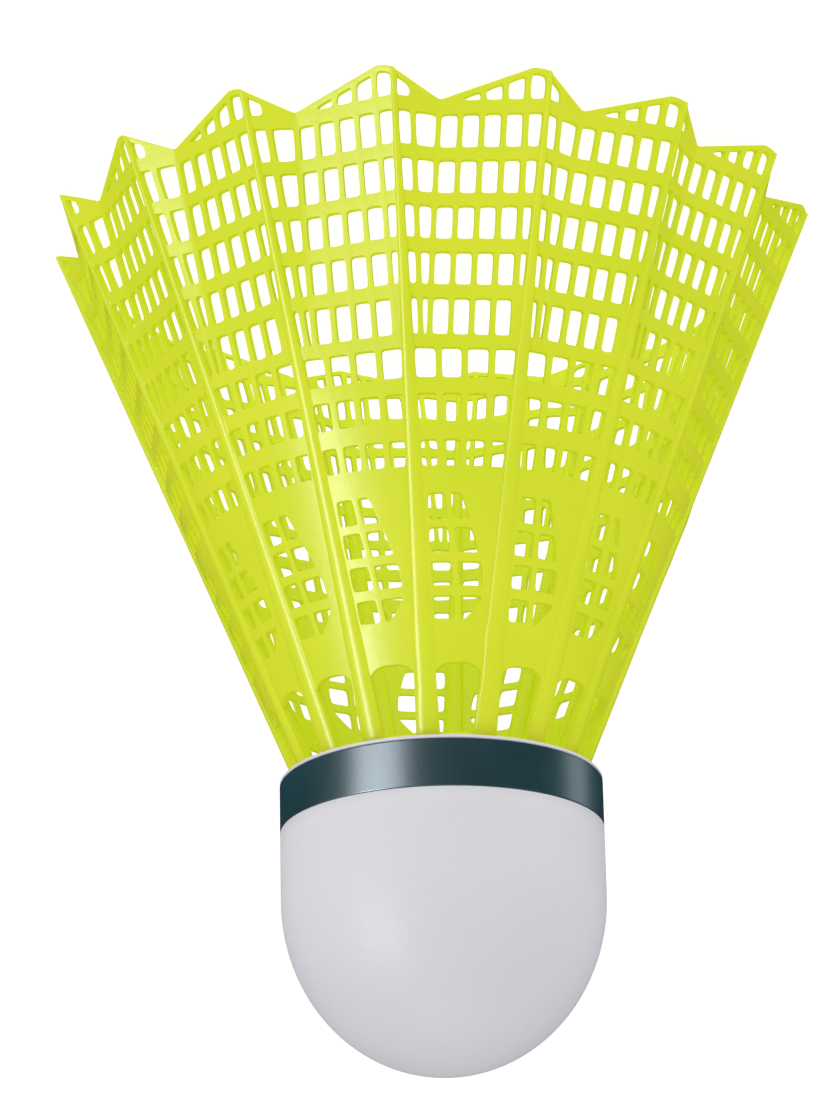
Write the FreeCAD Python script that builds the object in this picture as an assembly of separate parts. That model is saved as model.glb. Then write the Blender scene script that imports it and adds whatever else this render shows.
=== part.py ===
import FreeCAD, Part
import math
import os

# Badminton shuttlecock with a one-piece moulded nylon skirt, standing on its sixteen skirt
# tips. Millimetres. +Z runs from the skirt's mouth up to the crown of the head, the origin
# is on the axis in the plane of the tips, and -Y is the front.

V = FreeCAD.Vector

# Overall sizes
HEAD_DIAMETER = 27.0
HEAD_HEIGHT = 24.8
HEAD_STRAIGHT = 10.1
SKIRT_HEIGHT = 50.6
TIP_CIRCLE = 66.4
VANES = 16

# Head: cork core, skin and printed band
SKIN = 0.4
SKIN_LIP = 0.3
BAND_HEIGHT = 4.0
BAND_THICKNESS = 0.2
BORE_RADIUS = 6.0
BORE_DEPTH = 11.0

# Stems: one tapering rib for each vane
STEM_FOOT_WIDTH = 1.9
STEM_TIP_WIDTH = 0.5
STEM_FOOT_DEPTH = 1.6
STEM_TIP_DEPTH = 0.8
STEM_PROUD = 0.25

# Foot of the skirt: collar on the head's flat face, with a hollow spigot glued into the cork
GLUE_GAP = 0.1
SPIGOT_END_GAP = 1.0
SPIGOT_WALL = 1.0
FOOT_DISC = 0.7
COLLAR_STEP = 1.2
COLLAR_HEIGHT = 1.2
COLLAR_LEDGE = 0.8
COLLAR_RADIUS = HEAD_DIAMETER / 2.0 - COLLAR_STEP
COLLAR_WALL = STEM_FOOT_DEPTH + COLLAR_LEDGE

# Wall and its wavy rim
WALL = 0.42
PLEAT_DEPTH = 1.6
RIM_DROP = 2.35
RIM_BAND = 0.5
VALLEY = SKIRT_HEIGHT - RIM_DROP

# Slots, windows and net, one above the other, in reaches out from the head's flat face
SLOT_TOP = 5.9
SLOT_ARCH = 2.3
SLOT_SPRING = SLOT_TOP - SLOT_ARCH
WINDOW_ROWS = 4
WINDOW_WEB = 3.2
WINDOW_PITCH = 2.56
WINDOW_CELL = 1.95
WINDOW_LOSS = 0.08
WINDOW_FOOT = SLOT_TOP + WINDOW_WEB
WINDOW_TOP = WINDOW_FOOT + WINDOW_CELL + (WINDOW_PITCH - WINDOW_LOSS) * (WINDOW_ROWS - 1)
NET_ROWS = 8
NET_WEB = 2.4
TOP_HOOP = 1.1
HOOP = 0.94
HOOP_GAIN = 0.1
STRUT = 0.45
NET_FOOT = WINDOW_TOP + NET_WEB
NET_TOP = VALLEY - TOP_HOOP
NET_PITCH = (NET_TOP - NET_FOOT + HOOP + HOOP_GAIN * (NET_ROWS - 1)) / NET_ROWS
PLAIN_NET = 5.9
PLEAT_START = NET_FOOT + PLAIN_NET

PITCH = 360.0 / VANES
FIRST_STEM = -4.8
SLOPE = (TIP_CIRCLE / 2.0 - COLLAR_RADIUS) / (SKIRT_HEIGHT - COLLAR_HEIGHT)
WALL_ACROSS = WALL * math.sqrt(1.0 + SLOPE * SLOPE)


def place(radius, turn, reach):
    """Point at a radius, turned round the axis from the front, a reach out from the head's face."""
    angle = math.radians(turn)
    return V(-radius * math.sin(angle), -radius * math.cos(angle), SKIRT_HEIGHT - reach)


def ridge_radius(reach):
    """Outside radius of the wall along a stem."""
    return COLLAR_RADIUS + SLOPE * (reach - COLLAR_HEIGHT)


def between(start, end, share):
    return start + (end - start) * share


def along_net(reach):
    """0 where the pleats start, 1 at the valleys of the rim."""
    return (reach - PLEAT_START) / (VALLEY - PLEAT_START)


def crease_share(reach):
    """Where the valley crease lies, as a share of the way from one stem to the next."""
    return between(0.17, 0.30, max(0.0, along_net(reach)))


def wall_point(share, reach, inset=0.0):
    """Point on the pleated wall, a share of the way from this stem to the next."""
    here = place(ridge_radius(reach) - inset, 0.0, reach)
    there = place(ridge_radius(reach) - inset, PITCH, reach)
    fold = crease_share(reach)
    crease = between(here, there, fold)
    inward = V(-crease.x, -crease.y, 0.0).normalize()
    depth = PLEAT_DEPTH * max(0.0, along_net(reach)) * math.cos(math.radians(PITCH / 2.0))
    bow = crease.x * crease.x + crease.y * crease.y
    depth = depth - (ridge_radius(reach) - inset - math.sqrt(bow)) if depth > 0.0 else 0.0
    crease = crease + inward * max(0.0, depth)
    if share <= fold:
        return between(here, crease, share / fold)
    return between(crease, there, (share - fold) / (1.0 - fold))


def facet_normal(first, second, reach):
    """Horizontal outward normal of the wall between two shares."""
    run = wall_point(second, reach) - wall_point(first, reach)
    normal = V(-run.y, run.x, 0.0).normalize()
    middle = wall_point((first + second) / 2.0, reach)
    if normal.x * middle.x + normal.y * middle.y < 0.0:
        normal = normal * -1.0
    return normal


def solid_of(faces):
    made = [Part.Face(Part.makePolygon(list(loop) + [loop[0]])) for loop in faces]
    return Part.makeSolid(Part.makeShell(made))


def prism(points, normal, out=2.5, back=4.0):
    """Straight cutter through the wall: the loop is flattened along the normal and pushed through."""
    base = points[0]
    flat = [p - normal * (p - base).dot(normal) + normal * out for p in points]
    face = Part.Face(Part.makePolygon(flat + [flat[0]]))
    return face.extrude(normal * -(out + back))


def wall_solid():
    """The pleated wall from one stem's middle to the next, before any opening is cut."""
    levels = [SLOT_SPRING, PLEAT_START, SKIRT_HEIGHT + 1.0]
    grids = []
    for inset in (0.0, WALL_ACROSS):
        rows = [[wall_point(s, r, inset) for s in (0.0, crease_share(r), 1.0)] for r in levels]
        grids.append(rows)
    outer, inner = grids
    faces = []
    for i in range(len(levels) - 1):
        for j in range(2):
            for grid in grids:
                a, b, c, d = grid[i][j], grid[i][j + 1], grid[i + 1][j + 1], grid[i + 1][j]
                if i == 0:
                    continue
                faces.append((a, b, c))
                faces.append((a, c, d))
    for grid in grids:
        faces.append((grid[0][0], grid[0][1], grid[1][1]))
        faces.append((grid[0][0], grid[1][1], grid[1][0]))
        faces.append((grid[0][1], grid[0][2], grid[1][2]))
        faces.append((grid[0][1], grid[1][2], grid[1][1]))
    last = len(levels) - 1
    for i in (0, last):
        for j in range(2):
            faces.append((outer[i][j], outer[i][j + 1], inner[i][j + 1]))
            faces.append((outer[i][j], inner[i][j + 1], inner[i][j]))
    for j in (0, 2):
        for i in range(last):
            faces.append((outer[i][j], outer[i + 1][j], inner[i + 1][j]))
            faces.append((outer[i][j], inner[i + 1][j], inner[i][j]))
    return solid_of(faces)


def along_stem(reach):
    """0 at the stem's foot on the collar, 1 at the tips."""
    return (reach - COLLAR_HEIGHT) / (SKIRT_HEIGHT - COLLAR_HEIGHT)


def stem_width(reach):
    return between(STEM_FOOT_WIDTH, STEM_TIP_WIDTH, along_stem(reach))


def stem_depth(reach):
    return between(STEM_FOOT_DEPTH, STEM_TIP_DEPTH, along_stem(reach))


def stem_bar(low, high, outer_low, outer_high, inner_low, inner_high):
    """Tapering bar on the front plane between two reaches, from its inner to its outer radii."""
    corners = []
    for reach, outside, inside in ((low, outer_low, inner_low), (high, outer_high, inner_high)):
        half = stem_width(reach) / 2.0
        z = SKIRT_HEIGHT - reach
        around = ((half, outside), (-half, outside), (-half, inside), (half, inside))
        corners.append([V(x, -radius, z) for x, radius in around])
    near, far = corners
    faces = [near, far]
    for i in range(4):
        j = (i + 1) % 4
        faces.append([near[i], near[j], far[j], far[i]])
    return solid_of(faces)


def stem_solid():
    low = COLLAR_HEIGHT
    high = SKIRT_HEIGHT - RIM_DROP * 0.2
    outs = [ridge_radius(low), ridge_radius(high) + STEM_PROUD]
    ins = [ridge_radius(low) - stem_depth(low), ridge_radius(high) + STEM_PROUD - stem_depth(high)]
    return stem_bar(low, high, outs[0], outs[1], ins[0], ins[1])


def flank_cutter():
    """Everything between the two flank planes of a stem, to trim the wall that butts against it."""
    low = 0.0
    high = SKIRT_HEIGHT + 3.0
    return stem_bar(low, high, TIP_CIRCLE, TIP_CIRCLE, 1.0, 1.0)


def rim_reach(share):
    """Edge of the rim: lowest at the crease, highest at the apex beside the next stem."""
    apex = SKIRT_HEIGHT
    beside_stem = apex - RIM_DROP * 0.18
    if share < 0.30:
        return between(beside_stem, VALLEY, share / 0.30)
    if share < 0.90:
        return between(VALLEY, apex, (share - 0.30) / 0.60)
    if share < 0.955:
        return apex
    return between(apex, beside_stem, (share - 0.955) / 0.045)


def rim_cutters():
    high = SKIRT_HEIGHT + 3.0
    steep = [(-0.06, rim_reach(0.0)), (0.0, rim_reach(0.0)), (0.30, VALLEY), (0.34, VALLEY)]
    steep = steep + [(0.34, high), (-0.06, high)]
    broad = [(0.28, VALLEY), (0.30, VALLEY), (0.90, SKIRT_HEIGHT), (0.955, SKIRT_HEIGHT)]
    broad = broad + [(1.0, rim_reach(1.0)), (1.04, rim_reach(1.0)), (1.04, high), (0.28, high)]
    cuts = []
    for loop, ends in ((steep, (0.0, 0.29)), (broad, (0.31, 1.0))):
        normal = facet_normal(ends[0], ends[1], VALLEY)
        cuts.append(prism([wall_point(s, r) for s, r in loop], normal))
    return cuts


def cell(left_low, right_low, left_high, right_high, low, high, normal):
    loop = [(left_low, low), (right_low, low), (right_high, high), (left_high, high)]
    return prism([wall_point(s, r) for s, r in loop], normal)


def strut_share(reach):
    """Half a strut, as a share of the distance between two stems."""
    return STRUT / 2.0 / (ridge_radius(reach) * math.radians(PITCH))


def stem_share(reach):
    return stem_width(reach) / 2.0 / (ridge_radius(reach) * math.radians(PITCH))


def column_lines(reach, pleated):
    """Shares at which the upright struts of the net stand."""
    if not pleated:
        return [0.0, 0.26, 0.50, 0.74, 1.0]
    fold = crease_share(reach)
    step = between(0.184, 0.1415, along_net(reach))
    return [0.0, 0.119, fold] + [fold + step * n for n in range(1, 5)] + [1.0]


def cell_edges(column, reach, pleated):
    lines = column_lines(reach, pleated)
    half = strut_share(reach)
    left = lines[column] + (stem_share(reach) if column == 0 else half)
    right = lines[column + 1] - (stem_share(reach) if column == len(lines) - 2 else half)
    return left, right


def net_cells():
    cuts = []
    for row in range(NET_ROWS):
        high = NET_TOP - NET_PITCH * row
        low = high - (NET_PITCH - HOOP - HOOP_GAIN * row)
        pleated = low > PLEAT_START + NET_PITCH * 0.5
        for column in range(len(column_lines(low, pleated)) - 1):
            a, b = cell_edges(column, low, pleated)
            c, d = cell_edges(column, high, pleated)
            if (b - a) * ridge_radius(low) * math.radians(PITCH) < 0.35:
                continue
            normal = facet_normal(a, b, low)
            cuts.append(cell(a, b, c, d, low, high, normal))
    return cuts


def peak_cells():
    """Short openings between the top row and the rim, each with its top edge along the rim."""
    cuts = []
    low = VALLEY
    for column in range(7):
        a, b = cell_edges(column, low, True)
        left_high = rim_reach(a) - RIM_BAND
        right_high = rim_reach(b) - RIM_BAND
        if (left_high + right_high) / 2.0 - low < 0.35:
            continue
        left_high = max(left_high, low + 0.1)
        right_high = max(right_high, low + 0.1)
        loop = [(a, low), (b, low), (b, right_high), (a, left_high)]
        cuts.append(prism([wall_point(s, r) for s, r in loop], facet_normal(a, b, low)))
    return cuts


def window_edge(reach):
    """Slanting right-hand edge of the window, as a share."""
    slant = between(0.84, 0.38, (reach - WINDOW_TOP * 0.675) / (WINDOW_TOP * 0.325))
    corner = between(0.66, 0.84, (reach - WINDOW_TOP * 0.508) / (WINDOW_TOP * 0.076))
    return min(0.82, slant, corner)


def window_cells():
    cuts = []
    normal = facet_normal(0.3, 0.7, SLOT_TOP)
    for row in range(WINDOW_ROWS):
        high = WINDOW_TOP - WINDOW_PITCH * row
        low = high - (WINDOW_CELL - WINDOW_LOSS * row)
        for left, right in ((0.13, 0.38), (0.48, 0.82)):
            right_low = min(right, window_edge(low))
            right_high = min(right, window_edge(high))
            if max(right_low, right_high) - left < 0.1:
                continue
            right_low = max(right_low, left + 0.02)
            right_high = max(right_high, left + 0.02)
            cuts.append(cell(left, right_low, left, right_high, low, high, normal))
    return cuts


def slot_arch():
    """Rounded head of the long slot between two stems."""
    loop = []
    for step in range(9):
        angle = math.pi * step / 8.0
        share = 0.5 + 0.31 * math.cos(angle)
        loop.append(wall_point(share, SLOT_SPRING + (SLOT_TOP - SLOT_SPRING) * math.sin(angle)))
    loop.append(wall_point(0.19, SLOT_SPRING - 1.0))
    loop.append(wall_point(0.81, SLOT_SPRING - 1.0))
    return prism(loop, facet_normal(0.3, 0.7, SLOT_TOP))


def vane():
    """One stem with the net that runs from it to the next stem."""
    wall = wall_solid()
    for cut in rim_cutters():
        wall = wall.cut(cut)
    wall = wall.cut(Part.makeCompound(net_cells() + peak_cells() + window_cells() + [slot_arch()]))
    next_stem = flank_cutter()
    next_stem.rotate(V(0, 0, 0), V(0, 0, 1), -PITCH)
    wall = wall.cut(next_stem)
    return wall.fuse(stem_solid()).removeSplitter()


def revolve(points):
    """Solid of revolution from (radius, z) points."""
    loop = [V(r, 0.0, z) for r, z in points]
    face = Part.Face(Part.makePolygon(loop + [loop[0]]))
    return face.revolve(V(0, 0, 0), V(0, 0, 1), 360.0)


def dome_solid(radius, base, straight, crown):
    """Upright cylinder with a half-ellipsoid crown."""
    side = base + straight
    rise = crown - side
    centre = V(0, 0, side)
    shoulder = V(radius, 0, side)
    top = V(0, 0, crown)
    if rise > radius:
        arc = Part.Ellipse(top, shoulder, centre).toBSpline(0.0, math.pi / 2.0)
    else:
        below = V(0, 0, side - rise)
        arc = Part.Ellipse(shoulder, below, centre).toBSpline(math.pi * 1.5, math.pi * 2.0)
    axis_edge = Part.makeLine(top, V(0, 0, base))
    foot_edge = Part.makeLine(V(0, 0, base), V(radius, 0, base))
    side_edge = Part.makeLine(V(radius, 0, base), shoulder)
    wire = Part.Wire(Part.__sortEdges__([foot_edge, side_edge, arc.toShape(), axis_edge]))
    return Part.Face(wire).revolve(V(0, 0, 0), V(0, 0, 1), 360.0)


def head_parts():
    radius = HEAD_DIAMETER / 2.0
    crown = SKIRT_HEIGHT + HEAD_HEIGHT
    outside = dome_solid(radius, SKIRT_HEIGHT, HEAD_STRAIGHT, crown)
    inside = dome_solid(radius - SKIN, SKIRT_HEIGHT, HEAD_STRAIGHT, crown - SKIN)
    bore = Part.makeCylinder(BORE_RADIUS, BORE_DEPTH, V(0, 0, SKIRT_HEIGHT))
    core = inside.cut(bore)
    low = SKIRT_HEIGHT + SKIN_LIP
    band = Part.makeCylinder(radius, BAND_HEIGHT, V(0, 0, low))
    band = band.cut(Part.makeCylinder(radius - BAND_THICKNESS, BAND_HEIGHT, V(0, 0, low)))
    skin = outside.cut(inside).cut(band)
    return {"head_core": core, "head_skin": skin, "head_band": band}


def foot():
    """Collar, closed disc and hollow spigot: what the sixteen stems grow out of."""
    face = SKIRT_HEIGHT
    spigot = BORE_RADIUS - GLUE_GAP
    hollow = spigot - SPIGOT_WALL
    loop = [
        (COLLAR_RADIUS, face),
        (COLLAR_RADIUS, face - COLLAR_HEIGHT),
        (COLLAR_RADIUS - COLLAR_WALL, face - COLLAR_HEIGHT),
        (COLLAR_RADIUS - COLLAR_WALL, face - FOOT_DISC),
        (0.0, face - FOOT_DISC),
        (0.0, face + SPIGOT_WALL),
        (hollow, face + SPIGOT_WALL),
        (hollow, face + BORE_DEPTH - SPIGOT_END_GAP),
        (spigot, face + BORE_DEPTH - SPIGOT_END_GAP),
        (spigot, face),
    ]
    return revolve(loop)


def main():
    os.makedirs("parts", exist_ok=True)
    made = head_parts()
    made["skirt_foot"] = foot()
    pattern = vane()
    for index in range(VANES):
        copy = pattern.copy()
        copy.rotate(V(0, 0, 0), V(0, 0, 1), -(FIRST_STEM + PITCH * index))
        made["skirt_vane_%02d" % (index + 1)] = copy
    for name, shape in made.items():
        shape = Part.Solid(shape) if shape.ShapeType == "Shell" else shape
        if shape.ShapeType == "Compound" and len(shape.Solids) == 1:
            shape = shape.Solids[0]
        if not shape.isValid() or len(shape.Solids) != 1:
            raise ValueError("%s is not one sound solid" % name)
        shape.exportStep("parts/%s.step" % name)


main()
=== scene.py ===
import math

import bmesh
import bpy
from bpy.props import FloatProperty, FloatVectorProperty, PointerProperty
from mathutils import Matrix, Vector


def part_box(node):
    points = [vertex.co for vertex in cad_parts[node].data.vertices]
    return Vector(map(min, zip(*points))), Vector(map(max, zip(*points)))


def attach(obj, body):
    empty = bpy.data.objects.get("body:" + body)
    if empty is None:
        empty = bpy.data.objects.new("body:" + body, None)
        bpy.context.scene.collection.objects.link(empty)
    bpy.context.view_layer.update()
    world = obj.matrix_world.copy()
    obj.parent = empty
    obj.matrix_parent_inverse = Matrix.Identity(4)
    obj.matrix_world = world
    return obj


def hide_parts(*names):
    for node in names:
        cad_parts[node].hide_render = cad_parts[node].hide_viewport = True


bl_info = {
    "name": "Badminton Shuttlecock",
    "version": (1, 0, 0),
    "blender": (4, 5, 0),
    "location": "3D View > Sidebar > Shuttlecock",
    "description": "Moulded nylon skirt, skinned cork head and studio for a badminton shuttlecock",
    "category": "Add Mesh",
}

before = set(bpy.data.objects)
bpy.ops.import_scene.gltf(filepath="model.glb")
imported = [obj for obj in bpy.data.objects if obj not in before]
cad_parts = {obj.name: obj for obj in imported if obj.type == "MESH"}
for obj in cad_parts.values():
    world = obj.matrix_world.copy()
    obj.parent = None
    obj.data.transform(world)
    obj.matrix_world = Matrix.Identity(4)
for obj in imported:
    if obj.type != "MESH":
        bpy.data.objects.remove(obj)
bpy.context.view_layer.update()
SKIN_LOW, SKIN_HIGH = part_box("head_skin")
BAND_LOW, BAND_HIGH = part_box("head_band")
FOOT_LOW, FOOT_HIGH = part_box("skirt_foot")
VANE_NODES = sorted(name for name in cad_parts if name.startswith("skirt_vane_"))
VANES = len(VANE_NODES)
PITCH = 2.0 * math.pi / VANES
MM = 0.001

# Sharp edges of the moulding, as the angle between two faces, and how crisp they stay when it is rounded
SHARP_EDGE = math.radians(55.0)
SHARP_CREASE = 0.85

# Sizes of the foot beside the skirt's own, and how finely the round pieces are turned
FOOT_COLLAR_SHARE = 0.65
FOOT_COLLAR_INSET = 0.0004
FOOT_COLLAR_WALL = 0.0024
FOOT_DISC = 0.0007
SPIGOT_RADIUS = 0.0059
SPIGOT_WALL = 0.0010
FOOT_STEPS = 96
HEAD_STEPS = 128
DOME_STEPS = 30

# The studio. Lamps are (name, place, size, power, lights matt surfaces)
WHITE = (1.0, 1.0, 1.0, 1.0)
FLOOR_SIZE = 4.0
FLOOR_GLOW = 0.90
WORLD_GLOW = 0.73
LAMP_AIM = (0.0, 0.0, 0.035)
LAMPS = (
    ("key", (0.45, -0.50, 0.45), (0.30, 0.30), 0.30, True),
    ("strip", (0.52, -0.44, 0.35), (0.12, 0.40), 3.4, False),
    ("top", (0.0, 0.05, 0.70), (0.40, 0.40), 0.35, True),
)
# Lamps for the band alone are (name, degrees round from the front, width, power)
BAND_LAMPS = (
    ("band_kicker_left", 43.0, 0.065, 0.034),
    ("band_kicker_right", -106.0, 0.045, 0.0070),
)
BAND_LAMP_DISTANCE = 0.11
BAND_LAMP_HEIGHT = 0.028
BAND_LAMP_TALL = 0.05
CAMERA_LENS = 139.8
CAMERA_TILT = 0.3535
CAMERA_ROLL = 0.021
CAMERA_PLACE = (0.00136, -0.3418, 0.1559)


# ---------------------------------------------------------------- sizes and colours


class ShuttleSkirtSettings(bpy.types.PropertyGroup):
    height: FloatProperty(
        name="Skirt Height", description="From the tips to the head's flat face",
        default=SKIN_LOW.z, unit="LENGTH")
    tip_circle: FloatProperty(
        name="Tip Circle", description="Diameter of the wall at the sixteen tips",
        default=0.0664, unit="LENGTH")
    collar_radius: FloatProperty(
        name="Collar Radius", description="Radius of the collar that the stems grow out of",
        default=FOOT_HIGH.x, unit="LENGTH")
    collar_height: FloatProperty(
        name="Collar Height", description="How far the collar stands off the head",
        default=SKIN_LOW.z - FOOT_LOW.z, unit="LENGTH")
    wall: FloatProperty(
        name="Wall", description="Thickness of the net and hoops",
        default=0.00045, unit="LENGTH")
    pleat: FloatProperty(
        name="Pleat Depth", description="How deep the valleys are at the rim",
        default=0.0016, unit="LENGTH")
    rim_drop: FloatProperty(
        name="Rim Drop", description="How far the valleys of the rim lie back from the tips",
        default=0.00235, unit="LENGTH")
    strut: FloatProperty(
        name="Strut", description="Width of the thin uprights of the net",
        default=0.00044, unit="LENGTH")
    stem_foot: FloatProperty(
        name="Stem at the Foot", description="Width of a stem where it leaves the collar",
        default=0.0019, unit="LENGTH")
    stem_tip: FloatProperty(
        name="Stem at the Tip", description="Width of a stem at the rim",
        default=0.00034, unit="LENGTH")
    first_stem: FloatProperty(
        name="First Stem", description="Turn of the first stem from the front",
        default=math.radians(-4.8), subtype="ANGLE")


class ShuttleNetSettings(bpy.types.PropertyGroup):
    slot_top: FloatProperty(
        name="Slot Height", description="From the head's flat face to the top of the slots between the stems",
        default=0.00587, unit="LENGTH")
    window_top: FloatProperty(
        name="Window Height", description="From the head's flat face to the top of the windows",
        default=0.01852, unit="LENGTH")
    window_pitch: FloatProperty(
        name="Window Pitch", description="From one row of windows to the next",
        default=0.00256, unit="LENGTH")
    window_cell: FloatProperty(
        name="Window Opening", description="Height of the openings in the first row of windows",
        default=0.00195, unit="LENGTH")
    pleat_start: FloatProperty(
        name="Pleat Start", description="From the head's flat face to where the pleats start",
        default=0.02682, unit="LENGTH")
    net_setback: FloatProperty(
        name="Net Setback", description="From the tips back to the first row of net cells",
        default=0.00344, unit="LENGTH")
    net_pitch: FloatProperty(
        name="Net Pitch", description="From one row of net cells to the next",
        default=0.00349, unit="LENGTH")
    net_cell: FloatProperty(
        name="Net Opening", description="Height of the openings in the first row of net cells",
        default=0.00255, unit="LENGTH")


class ShuttleHeadSettings(bpy.types.PropertyGroup):
    radius: FloatProperty(
        name="Head Radius", description="Outside radius of the skinned head",
        default=SKIN_HIGH.x, unit="LENGTH")
    straight: FloatProperty(
        name="Straight Side", description="Height of the straight side before the dome starts",
        default=0.0101, unit="LENGTH")
    skin: FloatProperty(
        name="Skin", description="Thickness of the coated skin",
        default=0.0004, unit="LENGTH")
    band_wall: FloatProperty(
        name="Band Thickness", description="Thickness of the coloured tape",
        default=0.0002, unit="LENGTH")


class ShuttleFinishSettings(bpy.types.PropertyGroup):
    nylon: FloatVectorProperty(
        name="Nylon", description="Fluorescent colour of the skirt",
        default=(0.695, 0.770, 0.020), size=3, subtype="COLOR", min=0.0, max=1.0)
    nylon_deep: FloatVectorProperty(
        name="Nylon, Deeper", description="Colour where the moulding is thicker",
        default=(0.650, 0.745, 0.013), size=3, subtype="COLOR", min=0.0, max=1.0)
    skin: FloatVectorProperty(
        name="Skin", description="Colour of the head's coated skin",
        default=(0.702, 0.692, 0.742), size=3, subtype="COLOR", min=0.0, max=1.0)
    band: FloatVectorProperty(
        name="Band", description="Colour of the tape round the head",
        default=(0.0, 0.046, 0.060), size=3, subtype="COLOR", min=0.0, max=1.0)
    cork: FloatVectorProperty(
        name="Cork", description="Colour of the cork under the skin",
        default=(0.50, 0.32, 0.17), size=3, subtype="COLOR", min=0.0, max=1.0)


# ---------------------------------------------------------------- shape of the skirt


def blend(start, end, share):
    return start + (end - start) * share


def clamp(value, low=0.0, high=1.0):
    return max(low, min(high, value))


def straight(ends, at):
    """Value at a place on the line through two (place, value) points."""
    (place, value), (other_place, other_value) = ends
    return blend(value, other_value, (at - place) / (other_place - place))


def smooth(value):
    value = clamp(value)
    return value * value * (3.0 - 2.0 * value)


class SkirtForm:
    """The pleated cone, in millimetres.

    A share runs from one stem to the next, and a reach runs from the head's face to the rim."""

    # Share at which the wall is folded, where the pleats start and at the rim
    FOLD_AT_START = 0.17
    FOLD_AT_RIM = 0.30
    # Reach at which the round wall starts to turn into the folded one, and how long that takes
    PLEATS_FADE_FROM = 23.06
    PLEATS_FADE_OVER = 7.08
    # The rim's peaks: share of their tips, how far those lie back, and how much of each slope is rounded
    TIP_SHARE = 0.925
    TIP_SETBACK = 0.02
    ROUND_TIP = 0.055
    ROUND_VALLEY = 0.04
    # Solid edge along the rim, and the hoop between the peaks' cells and the net
    RIM_BAND = 0.42
    PEAK_HOOP = 1.02
    # Heights of the net's rows from the rim, against the first, and how the rows under the pleats are lowered
    CELL_SHARES = (1.0, 0.99, 0.98, 0.97, 1.08, 0.89, 0.825, 0.76)
    PLEATED_ROWS = 5
    LOWER_NET_DROP = 0.25
    # Each row of windows is this much lower than the last
    WINDOW_ROWS = 4
    WINDOW_LOSS = 0.08
    # Arched top of the slots, the room it takes, and the reach at which the stems end inside the collar
    ARCH_RISE = 2.35
    ARCH_POWER = 3.2
    ARCH_ROOM = 2.6
    STEM_END = 0.35
    # Lines beside every opening's edges, and how far its corners are drawn in, against that distance
    CORNER = 0.22
    CORNER_NIP = 0.34
    # Seam beside a stem, and how far a vane's wall is tucked behind the next stem
    STEM_GAP = 0.03
    STEM_TUCK = 0.20
    # Back and keel of a stem at its foot and its tip, the roundness of both, and where its edges lie
    STEM_PROUD = (0.30, 0.13)
    STEM_KEEL = (1.30, 0.62)
    STEM_ROUND = 2.6
    STEM_SUNK = 0.02
    STEM_EDGE = 1.15
    # The wall is drawn a little thicker, because rounding thins it
    WALL_GAIN = 1.08

    def __init__(self, skirt, net):
        self.height = skirt.height / MM
        self.collar = skirt.collar_radius / MM
        self.collar_height = skirt.collar_height / MM
        self.slope = (skirt.tip_circle / MM / 2.0 - self.collar) / (self.height - self.collar_height)
        self.wall = skirt.wall / MM
        self.pleat = skirt.pleat / MM
        self.rim_drop = skirt.rim_drop / MM
        self.strut = skirt.strut / MM
        self.stem_foot = skirt.stem_foot / MM
        self.stem_tip = skirt.stem_tip / MM
        self.slot_top = net.slot_top / MM
        self.window_top = net.window_top / MM
        self.window_pitch = net.window_pitch / MM
        self.window_cell = net.window_cell / MM
        self.pleat_start = net.pleat_start / MM
        self.net_top = self.height - net.net_setback / MM
        self.net_pitch = net.net_pitch / MM
        self.net_cell = net.net_cell / MM

    def ridge(self, reach):
        return self.collar + self.slope * (reach - self.collar_height)

    def across(self, reach):
        """Length round the skirt from one stem to the next."""
        return self.ridge(reach) * PITCH

    def along_stem(self, reach):
        return clamp((reach - self.collar_height) / (self.height - self.collar_height))

    def stem_half(self, reach):
        return blend(self.stem_foot, self.stem_tip, self.along_stem(reach)) / 2.0

    def stem_share(self, reach):
        return self.stem_half(reach) / self.across(reach)

    def along_net(self, reach):
        return (reach - self.pleat_start) / (self.height - self.rim_drop - self.pleat_start)

    def fold(self, reach):
        return blend(self.FOLD_AT_START, self.FOLD_AT_RIM, self.along_net(reach))

    def wall_point(self, share, reach):
        """Outer face of the wall, before any thickness."""
        radius = self.ridge(reach)
        here = Vector((0.0, -radius))
        there = Vector((-radius * math.sin(PITCH), -radius * math.cos(PITCH)))
        fold = self.fold(reach)
        crease = here.lerp(there, fold)
        depth = self.pleat * max(0.0, self.along_net(reach)) * math.cos(PITCH / 2.0)
        depth = max(0.0, depth - (radius - crease.length))
        crease = crease - crease.normalized() * depth
        if share <= fold:
            flat = here.lerp(crease, share / fold)
        else:
            flat = crease.lerp(there, (share - fold) / (1.0 - fold))
        round_wall = Vector((-radius * math.sin(PITCH * share), -radius * math.cos(PITCH * share)))
        pleated = smooth((reach - self.PLEATS_FADE_FROM) / self.PLEATS_FADE_OVER)
        return round_wall.lerp(flat, pleated)

    def rim(self, share):
        """Reach of the rim's edge: rounded tips beside the stems, soft valleys at the folds."""
        valley = self.height - self.rim_drop
        tip = self.height - self.TIP_SETBACK
        span = share - self.TIP_SHARE
        if share <= self.FOLD_AT_RIM:
            span += 1.0
        if span <= 0.0:
            rise = 1.0 + span / (self.TIP_SHARE - self.FOLD_AT_RIM)
        else:
            rise = 1.0 - span / (1.0 - self.TIP_SHARE + self.FOLD_AT_RIM)
        rise = clamp(rise)
        highest = 1.0 - self.ROUND_TIP * 0.5
        if rise > 1.0 - self.ROUND_TIP:
            rise = highest - (1.0 - rise) ** 2 / (2.0 * self.ROUND_TIP)
        if rise < self.ROUND_VALLEY:
            rise = (self.ROUND_VALLEY + rise * rise / self.ROUND_VALLEY) / 2.0
        return blend(valley, tip, rise / highest)

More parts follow.
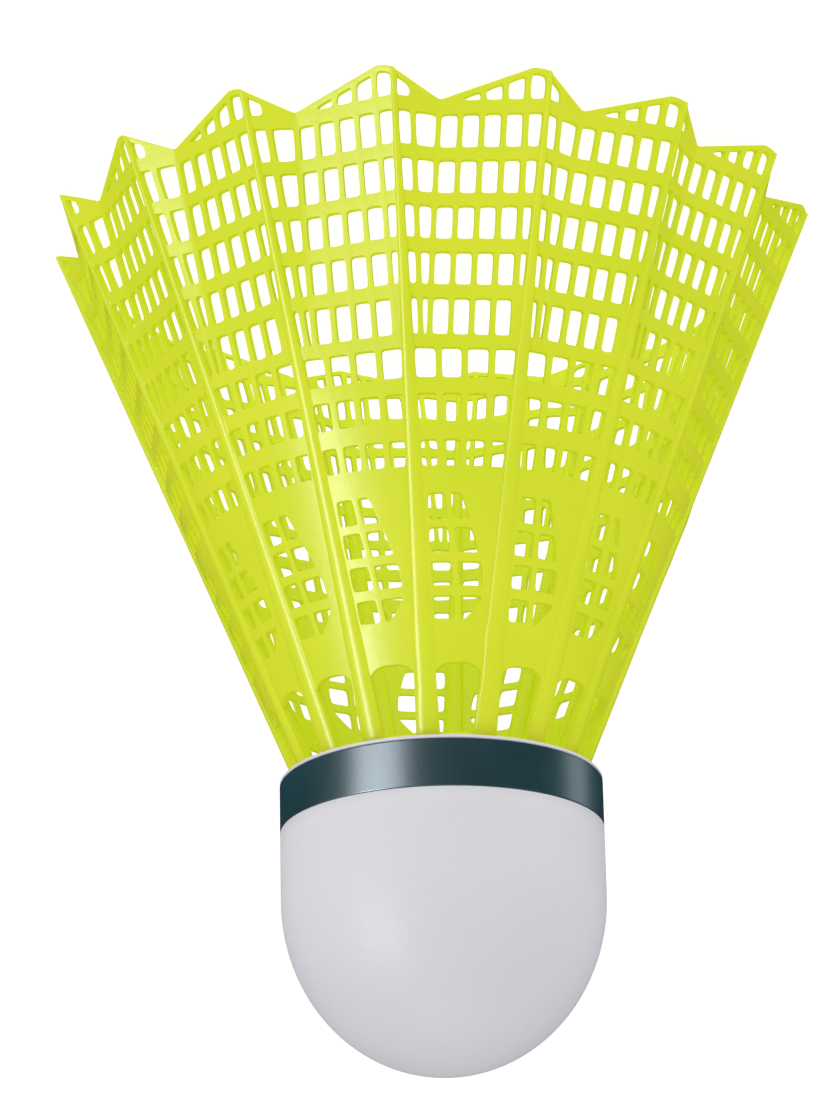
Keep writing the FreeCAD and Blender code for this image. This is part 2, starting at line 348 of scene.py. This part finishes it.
    def set_on_cone(self, share, reach, rib, inner):
        """Where a point of the sheet goes, in metres: on the stem's back, on its keel, or on the wall."""
        if rib == VaneGrid.OFF_STEM:
            flat = self.wall_point(share, reach)
            if inner:
                flat = flat - flat.normalized() * self.wall * self.WALL_GAIN
            return Vector((flat.x, flat.y, self.height - reach)) * MM
        along = self.along_stem(reach)
        crown = 1.0 - abs(rib) ** self.STEM_ROUND
        if inner:
            lift = blend(-self.STEM_SUNK - self.wall * self.STEM_EDGE, -blend(*self.STEM_KEEL, along), crown)
        else:
            lift = blend(-self.STEM_SUNK, blend(*self.STEM_PROUD, along), crown)
        side = share * self.across(reach)
        return Vector((-side, -self.ridge(reach) - lift, self.height - reach)) * MM


class VaneGrid:
    """Lines of the sheet that one vane is cut from: where each stands, and which squares are holes."""

    # Lines over the stem, as shares of its half width, and the mark of every line beside it
    RIB = (-1.0, -0.78, -0.40, 0.0, 0.40, 0.78, 1.0)
    OFF_STEM = 9.0
    # Number of lines over the wall, beside the last one, which is tucked behind the next stem
    AFTER = 29
    # For each kind of row: lines before the first opening, then (squares of an opening, squares after it)
    SPANS = {
        "net": (0, ((3, 1), (3, 2), (3, 1), (3, 1), (3, 1), (3, 1), (3, 0))),
        "even": (0, ((6, 1), (6, 1), (6, 1), (7, 0))),
        "window": (2, ((6, 2), (7, 0))),
    }
    # Pleated net: the upright on the steep side, and the step between those on the broad side
    STEEP_UPRIGHT = 0.119
    BROAD_STEPS = (0.184, 0.1415)
    # Lower net: its three uprights, and how much wider they are than the pleated net's
    EVEN_UPRIGHTS = (0.268, 0.497, 0.736)
    EVEN_STRUT = 1.15
    # Leaf-shaped window, as (height against the window's top, share across) ends of straight lines
    LEAF_UPRIGHT = ((0.57, 0.455), (0.97, 0.350))
    LEAF_SLANT = ((0.66, 0.80), (1.0, 0.49))
    LEAF_CORNER = ((0.508, 0.62), (0.584, 0.80))
    LEAF_START = 0.130
    LEAF_WIDEST = 0.78
    LEAF_INSET = 0.02
    LEAF_LEAST = 0.03
    GUSSET_LINES = 11
    # Openings that would be smaller than these are left out or held open
    LEAST_SHARE = 0.012
    LEAST_WIDTH = 0.25
    LEAST_PEAK = 0.30
    LEAST_RISE = 0.06
    # The line beside an opening's corner lies at most this share of the opening in from its side
    NICK_LIMIT = 0.33

    def __init__(self, form):
        self.form = form
        self.columns = len(self.RIB) + self.AFTER
        self.levels = []
        self.holes = set()
        self.corners = []
        self.plan_peaks()
        low = self.plan_net()
        low = self.plan_windows(low)
        self.plan_slots(low)

    def wall_ends(self, reach):
        """Shares at which the wall leaves its stem and meets the next one."""
        inset = self.form.stem_share(reach) + self.form.STEM_GAP / self.form.across(reach)
        return inset, 1.0 - inset

    def narrow_lines(self, reach):
        """Pleated net: two columns on the steep side of the fold and five on the broad side."""
        form = self.form
        across = form.across(reach)
        half = form.strut / 2.0 / across
        fold = form.fold(reach)
        step = blend(*self.BROAD_STEPS, form.along_net(reach))
        start, end = self.wall_ends(reach)
        uprights = [self.STEEP_UPRIGHT, fold] + [fold + step * n for n in range(1, 5)]
        last = len(uprights)
        lines = [start]
        for index in range(last + 1):
            left = start if index == 0 else uprights[index - 1] + half
            right = end if index == last else uprights[index] - half
            right = max(right, left + self.LEAST_SHARE)
            nick = min(form.CORNER / across, (right - left) * self.NICK_LIMIT)
            lines += [left + nick, right - nick, right]
            if index == 1:
                lines += [fold, fold + half]
            elif index < last:
                lines += [uprights[index] + half]
        return lines

    def spread(self, left, right, count, nick):
        """Lines inside one opening: close to each side, then even."""
        nick = min(nick, (right - left) / count)
        inner = [left + nick + (right - left - 2.0 * nick) * n / (count - 2) for n in range(count - 1)]
        return inner + [right]

    def even_lines(self, reach):
        """Lower net: four like columns."""
        form = self.form
        across = form.across(reach)
        half = form.strut * self.EVEN_STRUT / 2.0 / across
        start, end = self.wall_ends(reach)
        uprights = self.EVEN_UPRIGHTS
        last = len(uprights)
        lines = [start]
        for index, (squares, solid) in enumerate(self.SPANS["even"][1]):
            left = start if index == 0 else uprights[index - 1] + half
            right = end if index == last else uprights[index] - half
            lines += self.spread(left, right, squares, form.CORNER / across)
            if solid:
                lines += [uprights[index] + half]
        return lines

    def window_lines(self, reach):
        """Leaf-shaped window: two columns and a slanting edge, then the solid gusset."""
        form = self.form
        across = form.across(reach)
        height = reach / form.window_top
        nick = form.CORNER / across
        half = form.strut / 2.0 / across
        start, end = self.wall_ends(reach)
        upright = straight(self.LEAF_UPRIGHT, height)
        edge = min(self.LEAF_WIDEST, straight(self.LEAF_SLANT, height), straight(self.LEAF_CORNER, height))
        left = max(start + self.LEAF_INSET, self.LEAF_START)
        edge = max(upright + half + self.LEAF_LEAST, edge)
        lines = [start, blend(start, left, 0.5), left]
        lines += self.spread(left, upright - half, 6, nick)
        lines += [upright, upright + half]
        lines += self.spread(upright + half, edge, 7, nick)
        lines += [blend(edge, end, (n + 1.0) / self.GUSSET_LINES) for n in range(self.GUSSET_LINES)]
        return lines

    def hoop_lines(self, reach):
        start, end = self.wall_ends(reach)
        return [blend(start, end, n / (self.AFTER - 1.0)) for n in range(self.AFTER)]

    def add_level(self, kind, reach, rise=0.0):
        self.levels.append((kind, reach, rise))

    def add_cell_row(self, kind, high, low):
        """Levels of one row of cells, with one beside each edge to round the corners. Returns the first."""
        first = len(self.levels)
        for reach in (high, high - self.form.CORNER, low + self.form.CORNER, low):
            self.add_level(kind, reach)
        return first

    def open_band(self, first_level, last_level, first_line, last_line):
        """A hole between two lines and two levels."""
        for row in range(first_level, last_level):
            for column in range(first_line, last_line):
                self.holes.add((column, row))
        for row, up in ((first_level, 1), (last_level, -1)):
            for column, right in ((first_line, 1), (last_line, -1)):
                self.corners.append((column, row, right, up))

    def column_spans(self, kind):
        """First and last line of each opening across a row."""
        skipped, openings = self.SPANS[kind]
        at = len(self.RIB) + skipped
        spans = []
        for squares, solid in openings:
            spans.append((at, at + squares))
            at += squares + solid
        return spans

    def plan_peaks(self):
        """The rim and the short cells in its peaks. Levels run from the rim down to the foot."""
        form = self.form
        for rise in (1.0, 0.80):
            self.add_level("rim", form.height, rise)
        low = form.net_top + form.PEAK_HOOP
        first = len(self.levels)
        for rise in (1.0, 0.62, 0.30, 0.0):
            self.add_level("peak", low, rise)
        lines = self.narrow_lines(low)
        for left, right in self.column_spans("net"):
            sides = [form.rim(lines[column - len(self.RIB)]) for column in (left, right)]
            if sum(sides) / 2.0 - form.RIM_BAND - low > self.LEAST_PEAK:
                self.open_band(first, first + 3, left, right)

    def plan_net(self):
        """The rows of net cells. Returns the reach of the last row's lower edge."""
        form = self.form
        for row, share in enumerate(form.CELL_SHARES):
            pleated = row < form.PLEATED_ROWS
            kind = "net" if pleated else "even"
            high = form.net_top - form.net_pitch * row - (0.0 if pleated else form.LOWER_NET_DROP)
            low = high - form.net_cell * share
            first = self.add_cell_row(kind, high, low)
            lines = self.lines_at(kind, low)
            for left, right in self.column_spans(kind):
                width = (lines[right - len(self.RIB)] - lines[left - len(self.RIB)]) * form.across(low)
                if width >= self.LEAST_WIDTH:
                    self.open_band(first, first + 3, left, right)
        return low

    def plan_windows(self, net_low):
        """A plain hoop, then the rows of windows. Returns the reach of the last row's lower edge."""
        form = self.form
        for share in (0.30, 0.72):
            self.add_level("hoop", blend(net_low, form.window_top, share))
        for row in range(form.WINDOW_ROWS):
            high = form.window_top - form.window_pitch * row
            low = high - (form.window_cell - form.WINDOW_LOSS * row)
            first = self.add_cell_row("window", high, low)
            for left, right in self.column_spans("window"):
                self.open_band(first, first + 3, left, right)
        return low

    def plan_slots(self, window_low):
        """The plain wall, its arched edge, and the slots between the bare stems."""
        form = self.form
        for share in (0.30, 0.75):
            self.add_level("hoop", blend(window_low, form.slot_top, share))
        arch = len(self.levels)
        self.add_level("arch", form.slot_top)
        for share in (0.0, 0.35, 0.7, 1.0):
            self.add_level("stem", blend(form.slot_top - form.ARCH_ROOM, form.STEM_END, share))
        for row in range(arch, len(self.levels) - 1):
            for column in range(len(self.RIB) - 1, self.columns - 1):
                self.holes.add((column, row))

    def reach_at(self, level, share):
        form = self.form
        kind, reach, rise = self.levels[level]
        if kind == "rim":
            return form.rim(share % 1.0) - form.RIM_BAND * (1.0 - rise)
        if kind == "peak":
            top = max(form.rim(share % 1.0) - form.RIM_BAND, reach + self.LEAST_RISE)
            return blend(reach, top, rise)
        if kind == "arch":
            side = abs(2.0 * clamp(share) - 1.0)
            return form.slot_top - form.ARCH_RISE * side ** form.ARCH_POWER
        return reach

    def lines_at(self, kind, reach):
        if kind in ("rim", "peak", "net"):
            return self.narrow_lines(reach)
        if kind == "even":
            return self.even_lines(reach)
        if kind == "window":
            return self.window_lines(reach)
        return self.hoop_lines(reach)

    def rib_and_share(self, column, reach, wall):
        """Where a line lies against the stem, and its share, given the wall's lines at that reach."""
        form = self.form
        if column < len(self.RIB):
            rib = self.RIB[column]
            return rib, rib * form.stem_share(reach)
        if column < self.columns:
            return self.OFF_STEM, wall[column - len(self.RIB)]
        return self.OFF_STEM, 1.0 - (form.stem_half(reach) - form.STEM_TUCK) / form.across(reach)


def vane_sheet(form):
    """One vane: a sheet with its openings cut, given two faces and set on the pleated cone."""
    plan = VaneGrid(form)
    columns = plan.columns
    rows = len(plan.levels) - 1
    bm = bmesh.new()
    bmesh.ops.create_grid(bm, x_segments=columns, y_segments=rows, size=0.5)
    share_of = bm.verts.layers.float.new("share")
    reach_of = bm.verts.layers.float.new("reach")
    rib_of = bm.verts.layers.float.new("rib")
    inner_of = bm.verts.layers.float.new("inner")
    places = {}
    for vert in bm.verts:
        column = round((vert.co.x + 0.5) * columns)
        row = round((0.5 - vert.co.y) * rows)
        places[(column, row)] = vert
    for row, (kind, reach, _) in enumerate(plan.levels):
        wall = plan.lines_at(kind, reach)
        for column in range(columns + 1):
            vert = places[(column, row)]
            rib, share = plan.rib_and_share(column, reach, wall)
            vert[rib_of] = rib
            vert[share_of] = share
            vert[reach_of] = plan.reach_at(row, share)
    nip = form.CORNER * form.CORNER_NIP
    for column, row, right, up in plan.corners:
        vert = places[(column, row)]
        vert[share_of] += right * nip / form.across(vert[reach_of])
        vert[reach_of] -= up * nip
    cut = []
    for face in bm.faces:
        centre = face.calc_center_median()
        column = math.floor((centre.x + 0.5) * columns)
        row = math.floor((0.5 - centre.y) * rows)
        if (column, row) in plan.holes:
            cut.append(face)
    bmesh.ops.delete(bm, geom=cut, context="FACES")
    sheet = list(bm.faces)
    made = bmesh.ops.extrude_face_region(bm, geom=sheet, use_keep_orig=True)
    for item in made["geom"]:
        if isinstance(item, bmesh.types.BMVert):
            item[inner_of] = 1.0
    for vert in bm.verts:
        vert.co = form.set_on_cone(vert[share_of], vert[reach_of], vert[rib_of], vert[inner_of])
    face_outwards(bm)
    crisp = bm.edges.layers.float.new("crease_edge")
    for edge in bm.edges:
        if edge.calc_face_angle(0.0) > SHARP_EDGE:
            edge[crisp] = SHARP_CREASE
            edge.smooth = False
    return bm


# ---------------------------------------------------------------- meshes


def face_outwards(bm):
    bmesh.ops.recalc_face_normals(bm, faces=bm.faces)
    if bm.calc_volume(signed=True) < 0.0:
        bmesh.ops.reverse_faces(bm, faces=bm.faces)


def finished_piece(context, name, bm, material, nodes):
    mesh = bpy.data.meshes.new(name)
    bm.to_mesh(mesh)
    bm.free()
    return finished_mesh(context, name, mesh, material, nodes)


def finished_mesh(context, name, mesh, material, nodes, subdivide=0):
    """Smooth the mesh, make its object, hang it on the root body and hide the parts it stands for."""
    for polygon in mesh.polygons:
        polygon.use_smooth = True
    piece = bpy.data.objects.new(name, mesh)
    context.scene.collection.objects.link(piece)
    mesh.materials.append(material)
    if subdivide:
        rounding = piece.modifiers.new("Rounding", "SUBSURF")
        rounding.levels = subdivide
        rounding.render_levels = subdivide
    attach(piece, "root")
    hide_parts(*nodes)
    return piece


def turned(profile, steps, merge=0.00001):
    """Turn an open or closed profile of (radius, height) points round the axis."""
    bm = bmesh.new()
    verts = [bm.verts.new((radius, 0.0, height)) for radius, height in profile]
    edges = [bm.edges.new((verts[n], verts[n + 1])) for n in range(len(verts) - 1)]
    if (Vector(profile[0]) - Vector(profile[-1])).length > merge and profile[0][0] > merge:
        edges.append(bm.edges.new((verts[-1], verts[0])))
    bmesh.ops.spin(
        bm, geom=verts + edges, cent=(0.0, 0.0, 0.0), axis=(0.0, 0.0, 1.0), dvec=(0.0, 0.0, 0.0),
        angle=2.0 * math.pi, steps=steps, use_merge=True)
    bmesh.ops.remove_doubles(bm, verts=bm.verts, dist=merge)
    face_outwards(bm)
    return bm


# ---------------------------------------------------------------- finishes


def new_material(name):
    material = bpy.data.materials.new(name)
    material.use_nodes = True
    tree = material.node_tree
    tree.nodes.clear()
    out = tree.nodes.new("ShaderNodeOutputMaterial")
    shader = tree.nodes.new("ShaderNodeBsdfPrincipled")
    tree.links.new(shader.outputs["BSDF"], out.inputs["Surface"])
    return material, tree, shader


def mottle_group():
    """Shared surface effect: slow colour drift, fine grain for the bump, and a roughness that follows it."""
    name = "surface_mottle"
    if name in bpy.data.node_groups:
        return bpy.data.node_groups[name]
    group = bpy.data.node_groups.new(name, "ShaderNodeTree")
    face = group.interface
    face.new_socket(name="Colour", in_out="INPUT", socket_type="NodeSocketColor")
    face.new_socket(name="Other Colour", in_out="INPUT", socket_type="NodeSocketColor")
    numbers = (("Drift Scale", 60.0), ("Grain Scale", 2500.0), ("Roughness", 0.4), ("Roughness Range", 0.1))
    for label, default in numbers:
        socket = face.new_socket(name=label, in_out="INPUT", socket_type="NodeSocketFloat")
        socket.default_value = default
    face.new_socket(name="Colour", in_out="OUTPUT", socket_type="NodeSocketColor")
    face.new_socket(name="Roughness", in_out="OUTPUT", socket_type="NodeSocketFloat")
    face.new_socket(name="Grain", in_out="OUTPUT", socket_type="NodeSocketFloat")
    nodes, links = group.nodes, group.links
    given = nodes.new("NodeGroupInput")
    result = nodes.new("NodeGroupOutput")
    coordinates = nodes.new("ShaderNodeTexCoord")
    drift = nodes.new("ShaderNodeTexNoise")
    drift.inputs["Detail"].default_value = 2.0
    grain = nodes.new("ShaderNodeTexNoise")
    grain.inputs["Detail"].default_value = 3.0
    grain.inputs["Roughness"].default_value = 0.6
    for texture, label in ((drift, "Drift Scale"), (grain, "Grain Scale")):
        links.new(coordinates.outputs["Object"], texture.inputs["Vector"])
        links.new(given.outputs[label], texture.inputs["Scale"])
    spread = nodes.new("ShaderNodeMapRange")
    spread.inputs["From Min"].default_value = 0.35
    spread.inputs["From Max"].default_value = 0.65
    links.new(drift.outputs["Fac"], spread.inputs["Value"])
    mix = nodes.new("ShaderNodeMix")
    mix.data_type = "RGBA"
    links.new(spread.outputs["Result"], mix.inputs["Factor"])
    links.new(given.outputs["Colour"], mix.inputs["A"])
    links.new(given.outputs["Other Colour"], mix.inputs["B"])
    links.new(mix.outputs["Result"], result.inputs["Colour"])
    shift = nodes.new("ShaderNodeMath")
    shift.operation = "SUBTRACT"
    shift.inputs[1].default_value = 0.5
    links.new(grain.outputs["Fac"], shift.inputs[0])
    rough = nodes.new("ShaderNodeMath")
    rough.operation = "MULTIPLY_ADD"
    links.new(shift.outputs[0], rough.inputs[0])
    links.new(given.outputs["Roughness Range"], rough.inputs[1])
    links.new(given.outputs["Roughness"], rough.inputs[2])
    links.new(rough.outputs[0], result.inputs["Roughness"])
    links.new(grain.outputs["Fac"], result.inputs["Grain"])
    return group


def mottled(tree, shader, colour, other, drift, grain, roughness, roughness_range, bump, distance):
    """Place the shared effect in a material with this finish's own values."""
    effect = tree.nodes.new("ShaderNodeGroup")
    effect.node_tree = mottle_group()
    effect.inputs["Colour"].default_value = (*colour, 1.0)
    effect.inputs["Other Colour"].default_value = (*other, 1.0)
    effect.inputs["Drift Scale"].default_value = drift
    effect.inputs["Grain Scale"].default_value = grain
    effect.inputs["Roughness"].default_value = roughness
    effect.inputs["Roughness Range"].default_value = roughness_range
    tree.links.new(effect.outputs["Colour"], shader.inputs["Base Color"])
    tree.links.new(effect.outputs["Roughness"], shader.inputs["Roughness"])
    relief = tree.nodes.new("ShaderNodeBump")
    relief.inputs["Strength"].default_value = bump
    relief.inputs["Distance"].default_value = distance
    tree.links.new(effect.outputs["Grain"], relief.inputs["Height"])
    tree.links.new(relief.outputs["Normal"], shader.inputs["Normal"])
    return effect


def nylon_finish(finish):
    if "moulded_nylon" in bpy.data.materials:
        return bpy.data.materials["moulded_nylon"]
    material, tree, shader = new_material("moulded_nylon")
    effect = mottled(
        tree, shader, finish.nylon, finish.nylon_deep, drift=70.0, grain=1400.0,
        roughness=0.32, roughness_range=0.10, bump=0.08, distance=0.0002)
    # The nylon glows in its own colour at a tenth of full strength, though it is no lamp: painted light that
    # brightens the skirt evenly and softens its shade.
    tree.links.new(effect.outputs["Colour"], shader.inputs["Emission Color"])
    shader.inputs["Emission Strength"].default_value = 0.10
    shader.inputs["IOR"].default_value = 1.53
    shader.inputs["Specular IOR Level"].default_value = 0.40
    return material


def skin_finish(finish):
    if "coated_skin" in bpy.data.materials:
        return bpy.data.materials["coated_skin"]
    material, tree, shader = new_material("coated_skin")
    paler = tuple(clamp(c * 1.06) for c in finish.skin)
    mottled(
        tree, shader, finish.skin, paler, drift=45.0, grain=1800.0,
        roughness=0.50, roughness_range=0.15, bump=0.18, distance=0.0002)
    shader.inputs["IOR"].default_value = 1.48
    return material


def band_finish(finish):
    if "gloss_tape" in bpy.data.materials:
        return bpy.data.materials["gloss_tape"]
    material, tree, shader = new_material("gloss_tape")
    lighter = tuple(clamp(c * 1.5) for c in finish.band)
    mottled(
        tree, shader, finish.band, lighter, drift=120.0, grain=3200.0,
        roughness=0.33, roughness_range=0.08, bump=0.08, distance=0.0001)
    shader.inputs["IOR"].default_value = 2.0
    shader.inputs["Specular IOR Level"].default_value = 1.0
    shader.inputs["Specular Tint"].default_value = (0.82, 0.90, 1.0, 1.0)
    return material


def cork_finish(finish):
    if "natural_cork" in bpy.data.materials:
        return bpy.data.materials["natural_cork"]
    material, tree, shader = new_material("natural_cork")
    darker = tuple(c * 0.45 for c in finish.cork)
    mottled(
        tree, shader, finish.cork, darker, drift=900.0, grain=2600.0,
        roughness=0.85, roughness_range=0.10, bump=0.6, distance=0.0004)
    return material


# ---------------------------------------------------------------- operators


class SHUTTLE_OT_vanes(bpy.types.Operator):
    """Build the sixteen pleated vanes with their stems"""
    bl_idname = "shuttle.vanes"
    bl_label = "Vanes"

    def execute(self, context):
        scene = context.scene
        nylon = nylon_finish(scene.shuttle_finish)
        bm = vane_sheet(SkirtForm(scene.shuttle_skirt, scene.shuttle_net))
        pattern = bpy.data.meshes.new("vane_pattern")
        bm.to_mesh(pattern)
        bm.free()
        for index, node in enumerate(VANE_NODES):
            name = "vane_%02d" % (index + 1)
            mesh = pattern.copy()
            mesh.name = name
            turn = scene.shuttle_skirt.first_stem + PITCH * index
            mesh.transform(Matrix.Rotation(-turn, 4, "Z"))
            finished_mesh(context, name, mesh, nylon, [node], subdivide=1)
        bpy.data.meshes.remove(pattern)
        return {"FINISHED"}


class SHUTTLE_OT_foot(bpy.types.Operator):
    """Build the collar, disc and spigot that the stems grow out of"""
    bl_idname = "shuttle.foot"
    bl_label = "Foot"

    def execute(self, context):
        skirt = context.scene.shuttle_skirt
        face = skirt.height
        low = face - skirt.collar_height * FOOT_COLLAR_SHARE
        outer = skirt.collar_radius - FOOT_COLLAR_INSET
        inner = outer - FOOT_COLLAR_WALL
        disc = face - FOOT_DISC
        hollow = SPIGOT_RADIUS - SPIGOT_WALL
        hollow_end = face + SPIGOT_WALL
        spigot_end = FOOT_HIGH.z
        fillet = 0.0003
        dip = 0.00008
        draft = 0.0002
        soft = 0.00025
        profile = [
            (0.0, disc), (inner - fillet * 2.0, disc), (inner - fillet * 0.5, disc - dip),
            (inner, disc - fillet), (inner + draft, low),
            (outer - soft, low), (outer, low + soft), (outer, face),
            (SPIGOT_RADIUS, face), (SPIGOT_RADIUS, spigot_end), (hollow, spigot_end), (hollow, hollow_end),
            (0.0, hollow_end),
        ]
        bm = turned(profile, FOOT_STEPS)
        nylon = nylon_finish(context.scene.shuttle_finish)
        finished_piece(context, "foot", bm, nylon, ["skirt_foot"])
        return {"FINISHED"}


class SHUTTLE_OT_skin(bpy.types.Operator):
    """Build the head's coated skin, with the recess for the band"""
    bl_idname = "shuttle.skin"
    bl_label = "Head Skin"

    def dome(self, radius, side, rise):
        """Quarter ellipse from the straight side up to the crown, closed on the axis."""
        points = []
        for n in range(DOME_STEPS + 1):
            angle = math.pi / 2.0 * n / DOME_STEPS
            points.append((radius * math.cos(angle), side + rise * math.sin(angle)))
        points[-1] = (0.0, side + rise)
        return points

    def execute(self, context):
        head = context.scene.shuttle_head
        wide = head.radius
        base = SKIN_LOW.z
        side = base + head.straight
        rise = SKIN_HIGH.z - side
        sunk = wide - head.band_wall
        lip = 0.00006
        outside = [
            (wide - head.skin, base), (wide - lip, base), (wide, base + lip), (wide, BAND_LOW.z - lip),
            (sunk, BAND_LOW.z), (sunk, BAND_HIGH.z), (wide, BAND_HIGH.z + lip),
        ]
        outside += [(wide, blend(BAND_HIGH.z + lip, side, n / 4.0)) for n in range(1, 4)]
        outside += self.dome(wide, side, rise)
        inside = self.dome(wide - head.skin, side, rise - head.skin)
        bm = turned(outside + inside[::-1], HEAD_STEPS)
        skin = skin_finish(context.scene.shuttle_finish)
        finished_piece(context, "head_skin_cover", bm, skin, ["head_skin"])
        return {"FINISHED"}


class SHUTTLE_OT_band(bpy.types.Operator):
    """Build the coloured tape that lies flush round the head"""
    bl_idname = "shuttle.band"
    bl_label = "Band"

    def execute(self, context):
        head = context.scene.shuttle_head
        wide = head.radius
        inner = wide - head.band_wall
        low = BAND_LOW.z
        high = BAND_HIGH.z
        soft = 0.00005
        flat = 0.00012
        profile = [
            (inner, low), (wide - soft, low), (wide, low + soft), (wide, low + flat),
            (wide, high - flat), (wide, high - soft), (wide - soft, high), (inner, high),
        ]
        bm = turned(profile, HEAD_STEPS)
        tape = band_finish(context.scene.shuttle_finish)
        finished_piece(context, "head_band_tape", bm, tape, ["head_band"])
        return {"FINISHED"}


class SHUTTLE_OT_core(bpy.types.Operator):
    """Give the cork core its finish"""
    bl_idname = "shuttle.core"
    bl_label = "Cork Core"

    def execute(self, context):
        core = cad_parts["head_core"]
        core.data.materials.clear()
        core.data.materials.append(cork_finish(context.scene.shuttle_finish))
        return {"FINISHED"}


class SHUTTLE_OT_stage(bpy.types.Operator):
    """Build the pale floor, soft lights and camera"""
    bl_idname = "shuttle.stage"
    bl_label = "Stage"

    def softbox(self, scene, name, place, aim, size, power):
        lamp = bpy.data.lights.new(name, "AREA")
        lamp.shape = "RECTANGLE"
        lamp.size, lamp.size_y = size
        lamp.energy = power
        holder = bpy.data.objects.new(name, lamp)
        scene.collection.objects.link(holder)
        holder.location = place
        holder.rotation_mode = "QUATERNION"
        holder.rotation_quaternion = (Vector(aim) - Vector(place)).to_track_quat("-Z", "Y")
        return holder

    def floor(self, scene):
        """A pale sheet with a glow of its own, which the pieces don't mirror."""
        bm = bmesh.new()
        bmesh.ops.create_grid(bm, x_segments=8, y_segments=8, size=FLOOR_SIZE)
        mesh = bpy.data.meshes.new("floor")
        bm.to_mesh(mesh)
        bm.free()
        floor = bpy.data.objects.new("floor", mesh)
        scene.collection.objects.link(floor)
        material, tree, shader = new_material("pale_floor")
        mottled(
            tree, shader, (0.32, 0.32, 0.32), (0.34, 0.34, 0.34), drift=3.0, grain=60.0,
            roughness=0.85, roughness_range=0.05, bump=0.02, distance=0.0005)
        shader.inputs["Emission Color"].default_value = WHITE
        shader.inputs["Emission Strength"].default_value = FLOOR_GLOW
        mesh.materials.append(material)
        floor.visible_glossy = False

    def world(self, scene):
        """Even white light from all round, which the pieces don't mirror."""
        world = bpy.data.worlds.new("studio")
        scene.world = world
        world.use_nodes = True
        sky = world.node_tree.nodes["Background"]
        sky.inputs["Color"].default_value = WHITE
        sky.inputs["Strength"].default_value = WORLD_GLOW
        world.cycles_visibility.glossy = False
        scene.view_settings.view_transform = "Standard"
        scene.view_settings.look = "None"

    def lamps(self, scene):
        """Three soft lamps for the whole, then two small ones that light and show in the band alone."""
        for name, place, size, power, diffuse in LAMPS:
            lamp = self.softbox(scene, name, place, LAMP_AIM, size, power)
            lamp.visible_diffuse = diffuse
        band = bpy.data.collections.new("band_only")
        scene.collection.children.link(band)
        band.objects.link(bpy.data.objects["head_band_tape"])
        for name, turn, width, power in BAND_LAMPS:
            angle = math.radians(turn)
            place = Vector((math.sin(angle), -math.cos(angle), 0.0)) * BAND_LAMP_DISTANCE
            place.z = BAND_LAMP_HEIGHT
            aim = (0.0, 0.0, BAND_LAMP_HEIGHT)
            lamp = self.softbox(scene, name, place, aim, (width, BAND_LAMP_TALL), power)
            lamp.light_linking.receiver_collection = band
            lamp.visible_diffuse = False

    def camera(self, scene):
        """Looks down from the head's side, rolled over so that the head is at the bottom of the frame."""
        camera = bpy.data.cameras.new("camera")
        camera.sensor_width = 36.0
        camera.lens = CAMERA_LENS
        camera.clip_start = 0.01
        camera.clip_end = 20.0
        holder = bpy.data.objects.new("camera", camera)
        scene.collection.objects.link(holder)
        right = Vector((-1.0, 0.0, 0.0))
        up = Vector((0.0, -math.sin(CAMERA_TILT), -math.cos(CAMERA_TILT)))
        back = Vector((0.0, -math.cos(CAMERA_TILT), math.sin(CAMERA_TILT)))
        across = right * math.cos(CAMERA_ROLL) - up * math.sin(CAMERA_ROLL)
        upward = right * math.sin(CAMERA_ROLL) + up * math.cos(CAMERA_ROLL)
        turn = Matrix((across, upward, back)).transposed()
        holder.matrix_world = Matrix.Translation(CAMERA_PLACE) @ turn.to_4x4()
        scene.camera = holder

    def execute(self, context):
        self.floor(context.scene)
        self.world(context.scene)
        self.lamps(context.scene)
        self.camera(context.scene)
        return {"FINISHED"}


class SHUTTLE_PT_panel(bpy.types.Panel):
    """Lists the shuttlecock's pieces and their sizes"""
    bl_idname = "SHUTTLE_PT_panel"
    bl_label = "Shuttlecock"
    bl_space_type = "VIEW_3D"
    bl_region_type = "UI"
    bl_category = "Shuttlecock"

    def draw(self, context):
        scene = context.scene
        for settings in (scene.shuttle_skirt, scene.shuttle_net, scene.shuttle_head, scene.shuttle_finish):
            box = self.layout.box()
            for name in settings.bl_rna.properties.keys():
                if name not in ("rna_type", "name"):
                    box.prop(settings, name)
        for operator in OPERATORS:
            self.layout.operator(operator.bl_idname)


SETTINGS = (ShuttleSkirtSettings, ShuttleNetSettings, ShuttleHeadSettings, ShuttleFinishSettings)
OPERATORS = (
    SHUTTLE_OT_vanes, SHUTTLE_OT_foot, SHUTTLE_OT_core, SHUTTLE_OT_skin, SHUTTLE_OT_band, SHUTTLE_OT_stage,
)


def register():
    for part in SETTINGS + OPERATORS + (SHUTTLE_PT_panel,):
        bpy.utils.register_class(part)
    bpy.types.Scene.shuttle_skirt = PointerProperty(type=ShuttleSkirtSettings)
    bpy.types.Scene.shuttle_net = PointerProperty(type=ShuttleNetSettings)
    bpy.types.Scene.shuttle_head = PointerProperty(type=ShuttleHeadSettings)
    bpy.types.Scene.shuttle_finish = PointerProperty(type=ShuttleFinishSettings)


def unregister():
    del bpy.types.Scene.shuttle_finish
    del bpy.types.Scene.shuttle_head
    del bpy.types.Scene.shuttle_net
    del bpy.types.Scene.shuttle_skirt
    for part in reversed(SETTINGS + OPERATORS + (SHUTTLE_PT_panel,)):
        bpy.utils.unregister_class(part)


def main():
    register()
    bpy.ops.shuttle.vanes()
    bpy.ops.shuttle.foot()
    bpy.ops.shuttle.core()
    bpy.ops.shuttle.skin()
    bpy.ops.shuttle.band()
    bpy.ops.shuttle.stage()
    bpy.context.view_layer.update()


if __name__ == "__main__":
    main()
